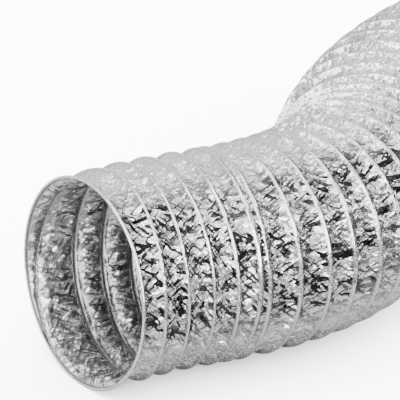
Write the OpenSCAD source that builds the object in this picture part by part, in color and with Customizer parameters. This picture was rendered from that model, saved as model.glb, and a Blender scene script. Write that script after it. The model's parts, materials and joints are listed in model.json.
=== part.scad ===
// Flexible round ventilation duct, lying on the floor in a gentle S.
// A spring wire is held between an inner and an outer ply of aluminium foil laminate.
// Millimetres. Origin: centre of the open mouth. +X runs into the duct, +Z is up.
// Every turn of the front run and of the elbow is a body of its own, so that it can
// be drawn out, pushed together and bent. The rear run is one body.

/* [Bore and plies] */
// Inside diameter, which slides over a nominal 150 mm spigot
bore_d = 152; // [100:1:250]
// Thickness of each foil ply
ply_t = 0.2; // [0.1:0.05:0.5]
// Thickness of the adhesive film between neighbouring layers
film_t = 0.05; // [0.02:0.01:0.1]

/* [Spring wire] */
// Diameter of the wire
wire_d = 1.2; // [0.8:0.1:2]
// Half the width of the foil tent over the wire, at its foot
bead_foot = 2.2; // [1.6:0.1:4]
// Half the width of the flat top of that tent
bead_top = 0.9; // [0.5:0.1:2]

/* [Turn spacing along the centre line] */
// Straight cuff behind the mouth and at the rear end
cuff_len = 25; // [15:1:60]
// Turn spacing of the front run, nearly drawn out
run_pitch = 19; // [10:0.5:24]
// Spacing of the one turn of the front run that is left pushed together
tight_pitch = 6; // [5:0.5:12]
// Turn spacing of the elbow
elbow_pitch = 17; // [12:0.5:22]
// Turn spacing of the rear run
rear_pitch = 21; // [10:0.5:26]
// Foil hem in front of the first wire and behind the last
hem_len = 3; // [2.5:0.5:8]

/* [Turns and bends] */
// Number of turns in the front run, the cuff included
run_turns = 9; // [6:1:12]
// Number of turns in the elbow
elbow_turns = 8; // [4:1:10]
// Number of turns in the rear run, the cuff included
rear_turns = 14; // [4:1:24]
// Bend of each turn just behind the mouth cuff, in degrees, to the right
mouth_bend = 3.5; // [0:0.25:5]
// Bend of each turn just before the elbow, in degrees, to the left
lead_bend = 4.5; // [0:0.25:5]
// Bend of each turn of the elbow, in degrees, to the left
elbow_bend = 5.75; // [0:0.25:7]
// Bend of each turn of the rear run, in degrees, to the right
rear_bend = 4; // [0:0.25:5]

/* [Hidden] */
$fn = 96;
bore_r = bore_d / 2;
inner_out = bore_r + ply_t;                   // outer face of the inner ply
outer_in = inner_out + film_t;                // inner face of the outer ply
outer_out = outer_in + ply_t;                 // outer face of the outer ply
wire_r = wire_d / 2;
hoop_r = outer_in + film_t + wire_r;          // centre line of the wire
tent_in = hoop_r + wire_r + 2 * film_t;       // inside of the foil tent's top
seam = 0.05;                                  // gap between one turn's foil and the next
lap = 0.3;                                    // how far a tent's foot runs onto the foil
skin_gap = bead_foot * 0.64;                  // foil stops this far from a wire's centre
tight_turn = 6;                               // the turn that is pushed together
mouth_bends = [2, 4];                         // first and last turn bent to the right
moving_turns = run_turns + elbow_turns;
all_turns = moving_turns + rear_turns;

function two(k) = k < 10 ? str("0", k) : str(k);

// Spacing of turn k along the centre line
function turn_len(k) =
    k == 1 || k == all_turns ? cuff_len :
    k == tight_turn ? tight_pitch :
    k <= run_turns ? run_pitch :
    k <= moving_turns ? elbow_pitch : rear_pitch;

// Bend of turn k in degrees, positive to the left
function turn_bend(k) =
    k == 1 || k == all_turns ? 0 :
    k >= mouth_bends[0] && k <= mouth_bends[1] ? -mouth_bend :
    k <= tight_turn ? 0 :
    k <= run_turns ? lead_bend :
    k <= moving_turns ? elbow_bend : -rear_bend;

// Heading of the centre line at the start of turn k
function heading(k) = k <= 1 ? 0 : heading(k - 1) + turn_bend(k - 1);

// Straight distance between the two ends of turn k
function chord(k) = let (half = turn_bend(k) / 2)
    abs(half) < 0.01 ? turn_len(k) : turn_len(k) * sin(half) / (half * PI / 180);

// Place of the centre line at the start of turn k
function place(k) = k <= 1 ? [hem_len, 0] :
    place(k - 1) + chord(k - 1) * [cos(heading(k - 1) + turn_bend(k - 1) / 2),
                                   sin(heading(k - 1) + turn_bend(k - 1) / 2)];

// Puts its children at the start of turn k, with X along the centre line
module at_turn(k) {
    p = place(k);
    translate([p[0], p[1], 0]) rotate([0, 0, heading(k)]) children();
}

// Straight tube along X
module tube(r_in, r_out, from, to) {
    translate([from, 0, 0]) rotate([0, 90, 0])
        difference() {
            cylinder(r = r_out, h = to - from);
            translate([0, 0, -1]) cylinder(r = r_in, h = to - from + 2);
        }
}

// Tube that starts at the origin along X and bends to the left (or right, if negative)
module bent_tube(r_in, r_out, len, bend) {
    if (abs(bend) < 0.01) tube(r_in, r_out, 0, len);
    else {
        centre = len / (abs(bend) * PI / 180);
        mirror([0, bend < 0 ? 1 : 0, 0])
            translate([0, centre, 0]) rotate([0, 0, -90])
                rotate_extrude(angle = abs(bend)) translate([centre, 0])
                    difference() { circle(r = r_out); circle(r = r_in); }
    }
}

// Outline of the foil tent that holds the wire down, as radius and distance along. Its
// front foot lies on the foil of the turn before, or runs into it where both are one
// piece (joined).
module bead_outline(joined) {
    front_foot = joined ? outer_in + ply_t / 2 : outer_out + film_t;
    back_foot = outer_in + ply_t / 2;
    polygon([
        [front_foot, -bead_foot], [outer_out + film_t + ply_t, -bead_foot],
        [tent_in + ply_t, -bead_top], [tent_in + ply_t, bead_top],
        [outer_out + film_t + ply_t, bead_foot], [back_foot, bead_foot],
        [back_foot, bead_foot - lap], [tent_in, bead_top - ply_t / 2],
        [tent_in, ply_t / 2 - bead_top], [front_foot, lap - bead_foot]]);
}

// Outline of a straight stretch of the outer ply, from one distance to another
module foil_outline(from, to) {
    translate([outer_in, from]) square([ply_t, to - from]);
}

// Turns an outline of radius and distance about the centre line
module revolved() {
    rotate([0, 90, 0]) rotate_extrude() children();
}

// One hoop of the spring wire, at the start of a turn
module hoop() {
    revolved() translate([hoop_r, 0]) circle(r = wire_r);
}

// Turn k's share of a tube along the centre line, leaving a gap at each end
module turn_tube(k, r_in, r_out, front_gap, back_gap) {
    rate = turn_bend(k) / turn_len(k);
    len = turn_len(k) - front_gap - back_gap;
    // start of the shortened tube: an arc of the centre line, front_gap long
    turned = rate * front_gap;
    step = abs(turned) < 0.001 ? front_gap : front_gap * sin(turned / 2) / (turned / 2 * PI / 180);
    at_turn(k) translate(step * [cos(turned / 2), sin(turned / 2), 0])
        rotate([0, 0, turned]) bent_tube(r_in, r_out, len, rate * len);
}

module wire_turn(k) {
    color([0.55, 0.56, 0.58]) at_turn(k) hoop();
}

module inner_ply_turn(k) {
    color([0.80, 0.81, 0.83]) {
        if (k == 1) at_turn(k) tube(bore_r, inner_out, -hem_len, turn_len(k) - seam);
        else if (k == all_turns) at_turn(k) tube(bore_r, inner_out, 0, turn_len(k) + hem_len);
        else turn_tube(k, bore_r, inner_out, 0, seam);
    }
}

// The outer ply of a cuff is straight, so its hem, tents and foil are turned as one
module front_cuff_foil() {
    revolved() {
        foil_outline(-hem_len, -skin_gap);
        bead_outline(true);
        foil_outline(skin_gap, cuff_len - skin_gap);
    }
}

module rear_cuff_foil() {
    revolved() {
        bead_outline(false);
        foil_outline(skin_gap, cuff_len - skin_gap);
        translate([0, cuff_len]) bead_outline(true);
        foil_outline(cuff_len + skin_gap, cuff_len + hem_len);
    }
}

module outer_ply_turn(k) {
    color([0.86, 0.87, 0.89]) {
        if (k == 1) at_turn(k) front_cuff_foil();
        else if (k == all_turns) at_turn(k) rear_cuff_foil();
        else {
            at_turn(k) revolved() bead_outline(false);
            turn_tube(k, outer_in, outer_out, skin_gap, skin_gap);
        }
    }
}

module wire_rear() {
    for (k = [moving_turns + 1:all_turns + 1]) wire_turn(k);
}

module inner_ply_rear() {
    for (k = [moving_turns + 1:all_turns]) inner_ply_turn(k);
}

module outer_ply_rear() {
    for (k = [moving_turns + 1:all_turns]) outer_ply_turn(k);
}

for (k = [1:moving_turns]) {
    wire_turn(k);
    inner_ply_turn(k);
    outer_ply_turn(k);
}
wire_rear();
inner_ply_rear();
outer_ply_rear();
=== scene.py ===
import json
import math

import bpy
import numpy as np
from mathutils import Matrix, Vector

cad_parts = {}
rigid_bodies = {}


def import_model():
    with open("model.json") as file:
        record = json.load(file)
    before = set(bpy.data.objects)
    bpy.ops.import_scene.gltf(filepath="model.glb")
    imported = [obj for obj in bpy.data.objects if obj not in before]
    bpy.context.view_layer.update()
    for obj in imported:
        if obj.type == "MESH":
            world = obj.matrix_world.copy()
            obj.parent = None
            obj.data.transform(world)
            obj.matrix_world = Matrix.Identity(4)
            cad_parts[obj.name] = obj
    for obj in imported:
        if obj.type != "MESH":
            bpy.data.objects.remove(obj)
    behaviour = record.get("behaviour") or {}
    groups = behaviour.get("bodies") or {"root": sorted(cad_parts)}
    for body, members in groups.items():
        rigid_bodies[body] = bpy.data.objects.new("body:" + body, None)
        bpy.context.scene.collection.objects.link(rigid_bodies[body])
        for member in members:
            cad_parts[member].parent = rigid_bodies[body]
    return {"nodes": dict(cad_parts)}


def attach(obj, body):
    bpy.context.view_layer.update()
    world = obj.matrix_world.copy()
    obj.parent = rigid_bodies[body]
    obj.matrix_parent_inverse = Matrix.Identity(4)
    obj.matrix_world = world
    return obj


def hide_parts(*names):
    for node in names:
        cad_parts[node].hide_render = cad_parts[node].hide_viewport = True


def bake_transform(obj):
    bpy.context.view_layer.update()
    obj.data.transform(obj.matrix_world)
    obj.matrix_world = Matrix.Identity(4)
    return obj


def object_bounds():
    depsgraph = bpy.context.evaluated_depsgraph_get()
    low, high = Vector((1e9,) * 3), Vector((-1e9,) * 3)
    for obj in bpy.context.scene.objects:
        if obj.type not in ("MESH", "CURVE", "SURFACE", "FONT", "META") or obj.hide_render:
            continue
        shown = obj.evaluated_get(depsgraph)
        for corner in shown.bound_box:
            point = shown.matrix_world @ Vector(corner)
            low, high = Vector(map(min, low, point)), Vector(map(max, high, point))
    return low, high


# Flexible foil duct on the floor: a spring wire between two plies of crinkled foil.
# Metres. Each skin is a grid of distance along the centre line and angle round it, where
# angle 0 is on top and grows to the duct's right.
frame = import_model()
lowBefore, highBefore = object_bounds()

lap = 2 * math.pi
rearHoops = 15                  # hoops in the rear run's wire, with both of its ends
farAway = 1000.0                # stands for a ridge that isn't there


def hoopPlanes(wire, count):
    # middle and heading of each hoop of a wire node: the middle of its box, and the
    # direction in which its points spread least
    points = np.array([v.co for v in frame["nodes"][wire].data.vertices], float)
    points = points.reshape(count, -1, 3)
    middles = (points.max(1) + points.min(1)) / 2
    normals = [np.linalg.svd(hoop - middle, full_matrices=False)[2][2]
               for hoop, middle in zip(points, middles)]
    normals = [n if n[0] > 0 else -n for n in normals]
    return middles, [math.atan2(n[1], n[0]) for n in normals]


movingTurns = sum(1 for name in frame["nodes"] if name.startswith("wire_")) - 1
places, headings = [], []
for k in range(movingTurns + 1):
    wire, count = ("wire_%02d" % (k + 1), 1) if k < movingTurns else ("wire_rear", rearHoops)
    middles, directions = hoopPlanes(wire, count)
    places += list(middles)
    headings += directions
places, headings = np.array(places), np.array(headings)
turns = len(places) - 1
bends = np.diff(headings)
spans = np.linalg.norm(np.diff(places, axis=0), axis=1) / np.sinc(bends / lap)
starts = np.concatenate([[0], np.cumsum(spans)])    # distance along the centre line at each hoop
print("centre line:", turns, "turns,", round(float(starts[-1]), 4), "m")


def centreLine(x):
    # place and heading at distance x: each turn is an arc between two hoops
    k = np.clip(np.searchsorted(starts, x, side="right") - 1, 0, turns - 1)
    past = x - starts[k]
    turned = bends[k] * past / spans[k]
    chord = past * np.sinc(turned / lap)
    a = headings[k] + turned / 2
    return places[k] + np.stack([chord * np.cos(a), chord * np.sin(a), 0 * a], -1), headings[k] + turned


foilSleeve = {
    "radius": 0.0774,           # foil beside the wire's ridge
    "ridgeHeight": 0.0005,      # the wire lifts the foil by this
    "ridgeHalf": 0.0012,        # half width of the ridge
    "sag": 0.0034,              # how far the foil drops off beside a ridge
    "sagReach": 0.0022,         # how quickly it drops
    "belly": 0.0010,            # further sag half way between two ridges
    "roomyAt": 0.016,           # ridges this far apart let the foil sag in full,
    "leastRoom": 0.15,          # and closer ones less, down to this share
    "endSpacing": 0.02,         # spacing taken in front of the first ridge and behind the last
    "wall": 0.0011,             # from the outer foil face to the inner one
    "tail": 0.003,              # hem behind the last wire
    "around": 440,              # steps round the duct
    "along": 30,                # steps along a turn of the front run
    "alongRear": 20,            # steps along a turn of the rear run
    "fewest": 8,                # steps along the shortest turn
    "stepsFor": 0.019,          # length of a turn with that many steps
    "mouthCrowd": 1.5,          # packs the first turn's steps toward the mouth
}
ridgeLean = {
    "at": (0.0, 0.14, 0.29, 0.44),               # at these distances along the duct
    "back": (0.0040, 0.005, 0.005, 0.005),       # the top of a ridge leans back by this
    # the front ridges' right side stands nearer to the mouth by this, from the first on
    "swing": (0.0, 0.011, 0.006, -0.002, -0.005, -0.0055, -0.002, -0.002, -0.002),
    "swingPower": 1.5,                           # narrows the swing to the middle of that side
    "leavesRim": 0.52,                           # share of the first lap that stays on the rim
}
mouthRoll = {
    "half": 0.0010,             # half the thickness of the rolled edge
    "edgeReach": 0.004,         # the crumple grows to full strength this far behind the edge,
    "edgeLeast": 0.25,          # from this share at the edge itself
    "hemWidth": 0.0070,         # fold that runs on inside
    "hemWave": 0.0018,          # how much its width wanders
    "hemWaves": (5, 11),        # waves of that round the mouth
    "hemStep": 0.0006,          # thickness of the fold, and the length over which it ends
}
crumple = {
    "seed": 11,
    "coarse": 0.0090, "coarseDepth": 0.0031,     # size and height of the big facets
    "fine": 0.0040, "fineDepth": 0.0014,         # and of the small ones
    "stretch": 1.5,                              # facets are longer along the duct by this
    "tautReach": 0.0018,                         # the foil is taut within this distance of a ridge,
    "tautLeast": 0.03,                           # where this share of the crumple is left
}
girth = lap * foilSleeve["radius"]


def hashNoise(i, j, salt):
    # repeatable number in 0..1 for whole i, j: the fraction of a large sine
    h = np.sin(i * 127.1 + j * 311.7 + salt * 74.7 + crumple["seed"] * 13.3) * 43758.5453
    return h - np.floor(h)


def warp(x, y, turn, salt, waves):
    # sum of sines, each with its height, its pace along, its waves round and its share of salt
    return sum(height * np.sin(pace * x + count * turn * y + phase * salt)
               for height, pace, count, phase in waves)


def facets(along, across, size, salt):
    # flat facets: each triangle of a warped lattice joins the noise heights of its three
    # corners, less a half; the lattice closes round the duct
    cells = round(girth / size / 2) * 2
    turn = lap / cells
    x, y = along / size, across / girth * cells
    warpX = warp(x, y, turn, salt, ((0.34, 2.1, 9, 1), (0.3, -3.1, round(cells * 0.7), 2)))
    warpY = warp(x, y, turn, salt, ((0.34, -1.7, round(cells * 0.41), 3), (0.28, 4.1, round(cells * 0.6), 1)))
    x, y = x + warpX, y + warpY
    slanted = x - y / 2
    i, j = np.floor(slanted), np.floor(y)
    inX, inY = slanted - i, y - j
    low = inX + inY < 1

    def height(i, j):
        # the lattice leans by half a cell a row, so a lap round the duct moves i too
        laps = np.floor(j / cells)
        return hashNoise(i + laps * (cells / 2), j - laps * cells, salt)
    corner = np.where(low, height(i, j), height(i + 1, j + 1))
    p, q = np.where(low, inX, 1 - inY), np.where(low, inY, 1 - inX)
    return corner + (height(i + 1, j) - corner) * p + (height(i, j + 1) - corner) * q - 0.5


def ridgeLines(angle):
    # distance of every ridge at each angle: the rim, then a helix that leans back on top
    # and leaves the rim on the left by a smooth step, then the rear rim
    share = np.mod(angle, lap) / lap
    off = np.clip((share - ridgeLean["leavesRim"]) / (1 - ridgeLean["leavesRim"]), 0, 1)
    lines = starts[:-1, None] + share[None, :] * spans[:, None]
    lines[0] = spans[0] * off * off * (3 - 2 * off)
    swing = np.array(ridgeLean["swing"])[:, None]
    lines[:len(swing)] -= swing * np.clip(np.sin(angle), 0, 1)[None, :] ** ridgeLean["swingPower"]
    lines = np.concatenate([0 * share[None, :], lines, starts[-1:, None] + 0 * share[None, :]])
    return lines + np.interp(lines, ridgeLean["at"], ridgeLean["back"]) * np.cos(angle)[None, :]


def ridgeDistance(x, angle):
    # distance to the nearest ridge, spacing of the two ridges round each point, and
    # distance to the ridge before it
    gap = x[:, None, :] - ridgeLines(angle[0])[None, :, :]
    before = np.where(gap >= 0, gap, farAway).min(1)
    after = np.where(gap < 0, -gap, farAway).min(1)
    beyond = np.maximum(before, after) == farAway
    return np.minimum(before, after), np.where(beyond, foilSleeve["endSpacing"], before + after), before


def mouthEdge(angle):
    # distance of the mouth's edge, which leans back with the first ridge
    return ridgeLean["back"][0] * np.cos(angle) - mouthRoll["half"]


def skinRadius(x, angle, inner):
    # radius = taut ridge, less an exponential drop beside it and a parabola between two,
    # plus the crumpled facets
    v, roll = foilSleeve, mouthRoll["half"]
    near, spacing = ridgeDistance(x, angle)[:2]
    roomy = np.clip(spacing / v["roomyAt"], v["leastRoom"], 1)
    fromRidge = near - v["ridgeHalf"]
    drop = v["sag"] * (1 - np.exp(-np.clip(fromRidge, 0, None) / v["sagReach"])) * roomy
    share = np.clip(2 * near / np.maximum(spacing, 1e-4), 0, 1)
    drop += v["belly"] * (1 - (1 - share) ** 2) * roomy
    ridge = v["ridgeHeight"] * np.sqrt(np.clip(1 - (near / v["ridgeHalf"]) ** 2, 0, 1))
    edge = x - mouthEdge(angle)
    slack = np.clip(fromRidge / crumple["tautReach"], crumple["tautLeast"], 1)
    slack = slack * np.clip(edge / mouthRoll["edgeReach"], mouthRoll["edgeLeast"], 1)
    along, across = x / crumple["stretch"], angle * v["radius"]
    rough = crumple["coarseDepth"] * facets(along, across, crumple["coarse"], 1.0)
    rough += crumple["fineDepth"] * facets(along, across, crumple["fine"], 2.0)
    r = np.minimum(v["radius"] - drop + ridge + rough * slack * roomy, v["radius"] + v["ridgeHeight"])
    # the mouth's edge is rolled: half a circle in section, and a folded hem runs on inside
    u = np.clip((roll - edge) / roll, 0, 1)
    curl = roll * (1 - np.sqrt(1 - u * u))
    if not inner:
        return r - curl
    few, many = mouthRoll["hemWaves"]
    hem = mouthRoll["hemWidth"] + mouthRoll["hemWave"] * (np.sin(few * angle + 1) + np.sin(many * angle)) / 2
    fold = mouthRoll["hemStep"] * np.clip((hem - edge) / mouthRoll["hemStep"], 0, 1)
    fill = np.clip(1 - (edge - roll) / roll, 0, 1) * (2 * roll - v["wall"] - mouthRoll["hemStep"])
    return r - v["wall"] - fold - fill + curl


def skinGrid(xs, angle, inner):
    # point = centre line + radius times (cos angle up + sin angle to the right)
    middle, heading = centreLine(xs)
    r = skinRadius(xs, angle, inner)
    side = np.stack([np.sin(heading), -np.cos(heading), 0 * heading], -1)
    up = np.array([0.0, 0.0, 1.0])
    return middle + r[..., None] * (np.cos(angle)[..., None] * up + np.sin(angle)[..., None] * side)


def gridFaces(rows, columns, offset, flip):
    # two triangles a cell, cut along the diagonal that the ridges climb
    i, j = np.meshgrid(np.arange(rows - 1), np.arange(columns), indexing="ij")
    k = (j + 1) % columns
    a, b, c, d = i * columns + j, (i + 1) * columns + j, (i + 1) * columns + k, i * columns + k
    tri = np.concatenate([np.stack([a, b, c], -1).reshape(-1, 3), np.stack([a, c, d], -1).reshape(-1, 3)])
    return (tri[:, ::-1] if flip else tri) + offset


def edgeFaces(rows, columns):
    # two triangles a step that join the outer face to the inner one at both ends
    n, last = rows * columns, (rows - 1) * columns
    j = np.arange(columns)
    k = (j + 1) % columns
    front = [[j, k, n + k], [j, n + k, n + j]]
    back = [[last + k, last + j, n + last + j], [last + k, n + last + j, n + last + k]]
    return np.concatenate([np.stack(corners, -1) for corners in front + back])


def snapRows(xs, angle):
    # moves each inside row by less than half a step, so that one row lies on the ridge
    # that crosses the band
    rows = xs.shape[0]
    lines = ridgeLines(angle[0])
    step = (xs[-1] - xs[0]) / (rows - 1)
    inside = (lines > xs[0][None, :]) & (lines < xs[-1][None, :])
    at = (np.where(inside, lines, 0).max(0) - xs[0]) / step
    move = np.where(inside.any(0), (at - np.round(at)) * step, 0)
    fromEnd = np.minimum(np.arange(rows), rows - 1 - np.arange(rows))[:, None]
    return xs + move[None, :] * np.clip(fromEnd / 1.5, 0, 1)    # eased over the two end steps


foilShade = {
    # painted shade in the creases beside a ridge: strength, distance from the ridge's line, half width
    "creaseShadeBehind": (0.95, 0.0010, 0.0006), "creaseShadeAhead": (0.4, 0.0016, 0.0005),
    "patch": 0.016, "patchStretch": 1.6, "patchDepth": 0.5,     # patches where the shards' painted reflection is stronger and weaker
    "darkest": 1.15,            # angle from the top, in radians, where the shards' painted reflection is darkest
    "sideEdge": (0.45, 0.85),   # cosine from there at which the painted reflection is weakest and strongest
    "top": 0.22, "side": 1.0,   # its strength on top and on the sides,
    "leftShare": 0.5,           # how much of it the left side keeps,
    "inside": 0.75,             # and its strength inside; all 0 leaves no painted reflection in the shards
}


def creaseShadeLine(distance, line):
    # bell curve of painted crease shade round a line beside the ridge
    strength, middle, half = line
    return strength * np.exp(-((distance - middle) / half) ** 2)


def surfaceFacts(xs, angle):
    # what the material reads at each point, the outer face's points first
    s = foilShade
    across = angle * foilSleeve["radius"]
    near, _, behind = ridgeDistance(xs, angle)
    # fold: painted shade in the creases just behind and just ahead of each ridge
    fold = creaseShadeLine(behind, s["creaseShadeBehind"]) + creaseShadeLine(near, s["creaseShadeAhead"]) * (behind > near)
    patches = 1 + s["patchDepth"] * facets(xs / s["patchStretch"], across, s["patch"], 5.0)
    weakest, strongest = s["sideEdge"]
    sides = (np.cos(np.abs(angle) - s["darkest"]) - weakest) / (strongest - weakest)
    # the shards' painted reflection is strongest on the sides and weaker on top, the left side keeps less of
    # it, and patches vary it
    paintedReflectionStrength = np.clip(sides, s["top"], s["side"]) * patches * np.where(angle < 0, s["leftShare"], 1.0)
    return {"along": np.tile(xs.ravel(), 2), "round": np.tile(across.ravel(), 2),
            "ridgeGap": np.tile(near.ravel(), 2), "inside": np.repeat([0.0, 1.0], xs.size),
            "fold": np.tile(fold.ravel(), 2),
            "paintedReflectionStrength": np.concatenate([paintedReflectionStrength.ravel(), s["inside"] * patches.ravel()])}


def skin(name, xFirst, xLast, steps, crowd):
    # closed sleeve of outer face, inner face and two edges; its rows stand at the steps'
    # shares to the power crowd, which packs them toward the first edge
    angle = np.linspace(-math.pi, math.pi, foilSleeve["around"], endpoint=False)[None, :]
    share = np.linspace(0, 1, steps + 1)[:, None] ** crowd
    xs = (xFirst + 0 * angle) * (1 - share) + (xLast + 0 * angle) * share
    xs = snapRows(xs, angle) if crowd == 1 else xs
    angle = angle + 0 * xs
    points = np.concatenate([skinGrid(xs, angle, inner).reshape(-1, 3) for inner in (False, True)])
    rows, columns = xs.shape
    faces = np.concatenate([gridFaces(rows, columns, 0, False), gridFaces(rows, columns, xs.size, True),
                            edgeFaces(rows, columns)])
    mesh = bpy.data.meshes.new(name)
    mesh.from_pydata(points.tolist(), [], faces.tolist())
    facts = surfaceFacts(xs, angle)
    for label, value in facts.items():
        mesh.attributes.new(label, "FLOAT", "POINT").data.foreach_set("value", value.astype(np.float32))
    mesh.update()
    obj = bpy.data.objects.new(name, mesh)
    bpy.context.scene.collection.objects.link(obj)
    return obj, facts["along"]


def node(tree, kind, links=(), **values):
    # adds a shader node, sets its values and links its inputs
    n = tree.nodes.new(kind)
    for key, value in values.items():
        setattr(n, key, value)
    for socket, source in links:
        if isinstance(source, (int, float, tuple)):
            n.inputs[socket].default_value = source
        else:
            tree.links.new(source, n.inputs[socket])
    return n


def maths(tree, operation, first, *others):
    # a math node, or a row of them when it takes in more than two values
    for other in others or (0.0,):
        first = node(tree, "ShaderNodeMath", [(0, first), (1, other)], operation=operation).outputs[0]
    return first


def vectorMaths(tree, operation, first, second, output="Vector"):
    links = [(0, first), (1, second)]
    return node(tree, "ShaderNodeVectorMath", links, operation=operation).outputs[output]


def ramp(tree, value, low, high, start=0.0, end=1.0):
    # from start to end while value goes from low to high
    links = [(0, value), (1, low), (2, high), (3, start), (4, end)]
    return node(tree, "ShaderNodeMapRange", links).outputs[0]


mixSockets = {"FLOAT": (2, 3, 0), "VECTOR": (4, 5, 1), "RGBA": (6, 7, 2)}    # two inputs and the output


def mix(tree, kind, share, first, second):
    a, b, out = mixSockets[kind]
    return node(tree, "ShaderNodeMix", [(0, share), (a, first), (b, second)], data_type=kind).outputs[out]


foilFinish = {
    "tone": (0.90, 0.903, 0.91, 1),
    "paintedDarkest": (0.02, 0.02, 0.021, 1),              # the darkest painted reflection in the shards and painted shade in the folds
    "lapTone": (0.34, 0.34, 0.345, 1),           # the inner ply's lap beside the wire
    "lapEdge": (0.0048, 0.0038),                 # distance from the ridge at which the lap begins
    "lapFrom": (0.009, 0.011),                   # distance along the duct from which there is one
    "roughness": 0.07, "innerRoughness": 0.26,
    "taut": (0.0009, 0.0018), "tautLeast": 0.1,  # shards fade toward a ridge, down to this share
    "innerCalm": 0.45,                           # share of their height that is left inside
    "warpPerMetre": 120.0, "warp": 0.0018,       # scale and amount of the noise that bends them
    # Three lays of shards. turn: degrees from the length of the duct. narrow: width over
    # length. Each shard draws a number in 0..1: its painted reflection is darkest under dark, none over
    # bright
    "shards": (
        {"turn": 30, "narrow": 0.22, "perMetre": 760.0, "slope": 0.26, "dark": 0.15, "bright": 0.30},
        {"turn": -52, "narrow": 0.26, "perMetre": 560.0, "slope": 0.24, "dark": 0.14, "bright": 0.34},
        {"turn": -8, "narrow": 0.30, "perMetre": 330.0, "slope": 0.20, "dark": 0.08, "bright": 0.30}),
}


def shardGroup():
    # long flat shards in crossing lays. Height: the sum of the lays' shards, each of which
    # slopes its own way. The other output is painted reflection: the product of the lays' painted
    # reflections, 0 for dark and 1 for none
    g = bpy.data.node_groups.new("shards", "ShaderNodeTree")
    for label in ("Along", "Round", "Slack"):
        g.interface.new_socket(label, in_out="INPUT", socket_type="NodeSocketFloat")
    for label in ("Height", "PaintedReflection"):
        g.interface.new_socket(label, in_out="OUTPUT", socket_type="NodeSocketFloat")
    given, result = g.nodes.new("NodeGroupInput").outputs, g.nodes.new("NodeGroupOutput").inputs
    place = node(g, "ShaderNodeCombineXYZ", [(0, given["Along"]), (1, given["Round"])]).outputs[0]
    links = [("Vector", place), ("Scale", foilFinish["warpPerMetre"])]
    noise = node(g, "ShaderNodeTexNoise", links).outputs["Color"]
    place = mix(g, "VECTOR", foilFinish["warp"], place, noise)
    heights, paintedReflections = [], []
    for lay in foilFinish["shards"]:
        links = [(0, place), ("Angle", math.radians(lay["turn"]))]
        turned = node(g, "ShaderNodeVectorRotate", links, rotation_type="Z_AXIS").outputs[0]
        spot = vectorMaths(g, "MULTIPLY", turned, (lay["narrow"], 1.0, 1.0))
        links = [("Vector", spot), ("Scale", lay["perMetre"])]
        cell = node(g, "ShaderNodeTexVoronoi", links, voronoi_dimensions="2D").outputs
        off = vectorMaths(g, "SUBTRACT", spot, cell["Position"])
        tilt = vectorMaths(g, "SUBTRACT", cell["Color"], (0.5, 0.5, 0.5))
        rise = vectorMaths(g, "DOT_PRODUCT", off, tilt, "Value")
        heights.append(maths(g, "MULTIPLY", rise, lay["slope"] * 2))    # twice a tilt within a half
        pick = node(g, "ShaderNodeSeparateXYZ", [(0, cell["Color"])]).outputs[2]
        paintedReflections.append(ramp(g, pick, lay["dark"], lay["bright"]))
    height = maths(g, "MULTIPLY", maths(g, "ADD", *heights), given["Slack"])
    g.links.new(height, result["Height"])
    g.links.new(maths(g, "MULTIPLY", *paintedReflections), result["PaintedReflection"])
    return g


def foilMaterial(shards):
    m = bpy.data.materials.new("foil")
    m.use_nodes = True
    t = m.node_tree
    sockets = t.nodes["Principled BSDF"].inputs
    sockets["Metallic"].default_value = 1
    facts = {n: node(t, "ShaderNodeAttribute", attribute_name=n).outputs["Fac"]
             for n in ("along", "round", "ridgeGap", "inside", "fold", "paintedReflectionStrength")}
    slack = ramp(t, facts["ridgeGap"], *foilFinish["taut"], foilFinish["tautLeast"])
    calm = maths(t, "MULTIPLY", slack, ramp(t, facts["inside"], 0.0, 1.0, 1.0, foilFinish["innerCalm"]))
    crease = node(t, "ShaderNodeGroup", node_tree=shards)
    for label, source in (("Along", facts["along"]), ("Round", facts["round"]), ("Slack", calm)):
        t.links.new(source, crease.inputs[label])
    links = [("Height", crease.outputs["Height"]), ("Distance", 1.0), ("Strength", 1.0)]
    t.links.new(node(t, "ShaderNodeBump", links).outputs[0], sockets["Normal"])
    rough = ramp(t, facts["inside"], 0.0, 1.0, foilFinish["roughness"], foilFinish["innerRoughness"])
    t.links.new(rough, sockets["Roughness"])
    # painted reflection in the shards darkens the foil where it is slack, and painted crease shade darkens it
    # beside the ridges
    amount = maths(t, "MULTIPLY", facts["paintedReflectionStrength"], slack)
    dark = maths(t, "MULTIPLY", amount, maths(t, "SUBTRACT", 1.0, crease.outputs["PaintedReflection"]))
    dark = maths(t, "MAXIMUM", dark, facts["fold"])
    tone = mix(t, "RGBA", dark, foilFinish["tone"], foilFinish["paintedDarkest"])
    # the inner ply's lap beside the wire is duller
    dull = maths(t, "MULTIPLY", ramp(t, facts["ridgeGap"], *foilFinish["lapEdge"]), facts["inside"],
                 ramp(t, facts["along"], *foilFinish["lapFrom"]))
    t.links.new(mix(t, "RGBA", dull, tone, foilFinish["lapTone"]), sockets["Base Color"])
    return m


foil = foilMaterial(shardGroup())
columns = np.linspace(-math.pi, math.pi, foilSleeve["around"], endpoint=False)[None, :]
for k in range(turns):
    moving = k < movingTurns
    first = mouthEdge(columns) if k == 0 else starts[k]
    last = starts[k + 1] + (foilSleeve["tail"] if k == turns - 1 else 0)
    steps = foilSleeve["along" if moving else "alongRear"] * spans[k] / foilSleeve["stepsFor"]
    steps = max(foilSleeve["fewest"], round(steps))
    obj, along = skin("skin%02d" % (k + 1), first, last, steps, foilSleeve["mouthCrowd"] if k == 0 else 1)
    obj.data.materials.append(foil)
    if moving:
        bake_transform(obj)
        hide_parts("outer_ply_%02d" % (k + 1), "inner_ply_%02d" % (k + 1), "wire_%02d" % (k + 1))
    else:
        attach(obj, "rear_run")
        if k == movingTurns:
            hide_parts("outer_ply_rear", "inner_ply_rear", "wire_rear")
skins = [o for o in bpy.data.objects if o.name.startswith("skin")]
print("skins made:", len(skins), "with", sum(len(o.data.polygons) for o in skins), "faces")

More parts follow.
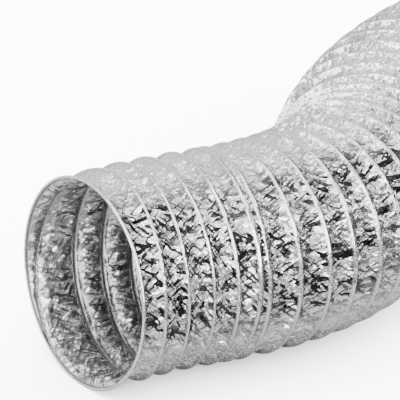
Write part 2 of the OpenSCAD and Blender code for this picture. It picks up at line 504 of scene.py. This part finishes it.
camera = {
    "azimuth": 34.7, "elevation": 25.0, "roll": 1.0,    # degrees
    "distance": 3.987,          # from the mouth, along the line of sight
    "aimRight": 0.08248,        # the line of sight passes this far to the right of the mouth's middle
    "aimUp": 0.05915,           # and this far above it
    "lens": 505.98, "sensor": 36,                       # millimetres
}
stage = {
    "half": 15.0,               # the floor reaches this far each way
    "grey": 0.93,               # the floor as the camera sees it,
    "reflectedGrey": 0.085,     # and as the foil and the light see it
    "flagGrey": 0.004, "flagLift": 0.0004, "roughness": 0.9,
    # dark cards on the floor that only the foil's reflections see: x from and to, y from and to
    "flags": (((-0.4, 2.0), (-0.25, -0.19)), ((-0.4, 2.0), (-0.42, -0.32)), ((-0.4, 2.0), (-0.8, -0.55)),
              ((-0.4, 3.0), (-3.0, -1.1)), ((0.36, 2.0), (-0.15, -0.06))),
}
floorZ = lowBefore[2]


def stagePlane(name, corners, z, material):
    # flat card from its lowest and highest x and y
    (xLow, xHigh), (yLow, yHigh) = corners
    mesh = bpy.data.meshes.new(name)
    points = [(xLow, yLow, z), (xHigh, yLow, z), (xHigh, yHigh, z), (xLow, yHigh, z)]
    mesh.from_pydata(points, [], [(0, 1, 2, 3)])
    mesh.materials.append(material)
    obj = bpy.data.objects.new(name, mesh)
    bpy.context.scene.collection.objects.link(obj)
    return obj


def greyTone(grey):
    return grey, grey, grey, 1


def matt(name, grey):
    m = bpy.data.materials.new(name)
    m.use_nodes = True
    m.node_tree.nodes["Principled BSDF"].inputs["Base Color"].default_value = greyTone(grey)
    m.node_tree.nodes["Principled BSDF"].inputs["Roughness"].default_value = stage["roughness"]
    return m


paper = matt("paper", stage["grey"])
tree = paper.node_tree
seen = node(tree, "ShaderNodeLightPath").outputs["Is Camera Ray"]
shade = mix(tree, "RGBA", seen, greyTone(stage["reflectedGrey"]), greyTone(stage["grey"]))
tree.links.new(shade, tree.nodes["Principled BSDF"].inputs["Base Color"])
stagePlane("floor", ((-stage["half"], stage["half"]), (-stage["half"], stage["half"])), floorZ, paper)
flagInk = matt("flag", stage["flagGrey"])
for k, corners in enumerate(stage["flags"]):
    flag = stagePlane("flag%d" % (k + 1), corners, floorZ + stage["flagLift"], flagInk)
    flag.visible_camera = flag.visible_shadow = flag.visible_diffuse = False

# The surround is plain for the camera and for matt surfaces. The foil mirrors another one,
# with directions that turn with the camera's azimuth: right, away and up. It is bright
# behind and above, and dark to the right and in front, with lights in the dark part.
# Each edge is where a part begins and where it is full.
surround = {
    "plain": 14.0,
    "back": 1.25, "sky": 3.0, "skyEdge": (0.93, 0.96),          # up
    "dark": 0.01, "rightEdge": (0.34, 0.44), "nearEdge": (0.05, -0.1), "lowEdge": (0.74, 0.66),
    "strips": 3.0,                                              # standing strips cut into tiers
    "comb": (13.0, 0.6, (-0.2, 0.2)),                           # waves a radian, phase and edge
    "tiers": (11.0, 2.3, (-0.5, 0.0)),                          # pace up, pace a radian and edge
    "hot": 9.0, "hotComb": (5.0, 2.0, (0.85, 0.92)), "hotEdge": (0.08, 0.12),
    "frontAt": 0.02, "frontEdge": (0.24, 0.2),                  # the lamp in front
    "left": 6.0, "leftEdge": (-0.3, -0.4),                      # the lamp on the near left
}
azimuth, elevation = math.radians(camera["azimuth"]), math.radians(camera["elevation"])
world = bpy.data.worlds.new("studio")
bpy.context.scene.world = world
world.use_nodes = True
tree = world.node_tree


def stripes(phase, edge):
    # bright where the sine of the phase is past the edge
    return ramp(tree, maths(tree, "SINE", phase), *edge)


ray = node(tree, "ShaderNodeTexCoord").outputs["Generated"]
spin = node(tree, "ShaderNodeVectorRotate", [(0, ray), ("Angle", azimuth)], rotation_type="Z_AXIS").outputs[0]
toRight, away, upward = node(tree, "ShaderNodeSeparateXYZ", [(0, spin)]).outputs
bearing = maths(tree, "ARCTAN2", toRight, away)
nearSide = ramp(tree, away, *surround["nearEdge"])
side = maths(tree, "MAXIMUM", ramp(tree, toRight, *surround["rightEdge"]), nearSide)
darkPart = maths(tree, "MULTIPLY", side, ramp(tree, upward, *surround["lowEdge"]))
pace, phase, edge = surround["comb"]
comb = stripes(maths(tree, "ADD", maths(tree, "MULTIPLY", bearing, pace), phase), edge)
pace, lean, edge = surround["tiers"]
climb = maths(tree, "ADD", maths(tree, "MULTIPLY", upward, pace), maths(tree, "MULTIPLY", bearing, lean))
strips = maths(tree, "MULTIPLY", comb, stripes(climb, edge), surround["strips"])
pace, phase, edge = surround["hotComb"]
hot = stripes(maths(tree, "ADD", maths(tree, "MULTIPLY", bearing, pace), phase), edge)
hot = maths(tree, "MULTIPLY", hot, ramp(tree, upward, *surround["hotEdge"]), surround["hot"])
aside = maths(tree, "ABSOLUTE", maths(tree, "SUBTRACT", toRight, surround["frontAt"]))
front = maths(tree, "MULTIPLY", ramp(tree, aside, *surround["frontEdge"]), nearSide, surround["hot"])
left = maths(tree, "MULTIPLY", ramp(tree, toRight, *surround["leftEdge"]), nearSide, surround["left"])
lights = maths(tree, "ADD", maths(tree, "MAXIMUM", strips, hot, front, left), surround["dark"])
lit = maths(tree, "MULTIPLY", darkPart, lights)
above = maths(tree, "MULTIPLY", ramp(tree, upward, *surround["skyEdge"]), surround["sky"])
above = maths(tree, "ADD", above, surround["back"])
above = maths(tree, "MULTIPLY", maths(tree, "SUBTRACT", 1.0, darkPart), above)
mirrored = node(tree, "ShaderNodeLightPath").outputs["Is Glossy Ray"]
strength = mix(tree, "FLOAT", mirrored, surround["plain"], maths(tree, "ADD", lit, above))
tree.links.new(strength, tree.nodes["Background"].inputs["Strength"])
tree.nodes["Background"].inputs["Color"].default_value = greyTone(1)

look = Vector((math.cos(elevation) * math.sin(azimuth), math.cos(elevation) * math.cos(azimuth),
               -math.sin(elevation)))
right = Vector((math.cos(azimuth), -math.sin(azimuth), 0))
up = right.cross(look)
roll = math.radians(camera["roll"])
right, up = math.cos(roll) * right + math.sin(roll) * up, math.cos(roll) * up - math.sin(roll) * right
camData = bpy.data.cameras.new("camera")
camData.sensor_width = camera["sensor"]
camData.lens = camera["lens"]
camData.clip_end = 100
cam = bpy.data.objects.new("camera", camData)
aim = Vector(places[0]) + right * camera["aimRight"] + up * camera["aimUp"]
cam.location = aim - look * camera["distance"]
cam.rotation_mode = "QUATERNION"
cam.rotation_quaternion = Matrix((right, up, -look)).transposed().to_quaternion()
bpy.context.scene.collection.objects.link(cam)
bpy.context.scene.camera = cam
print("studio and camera set")
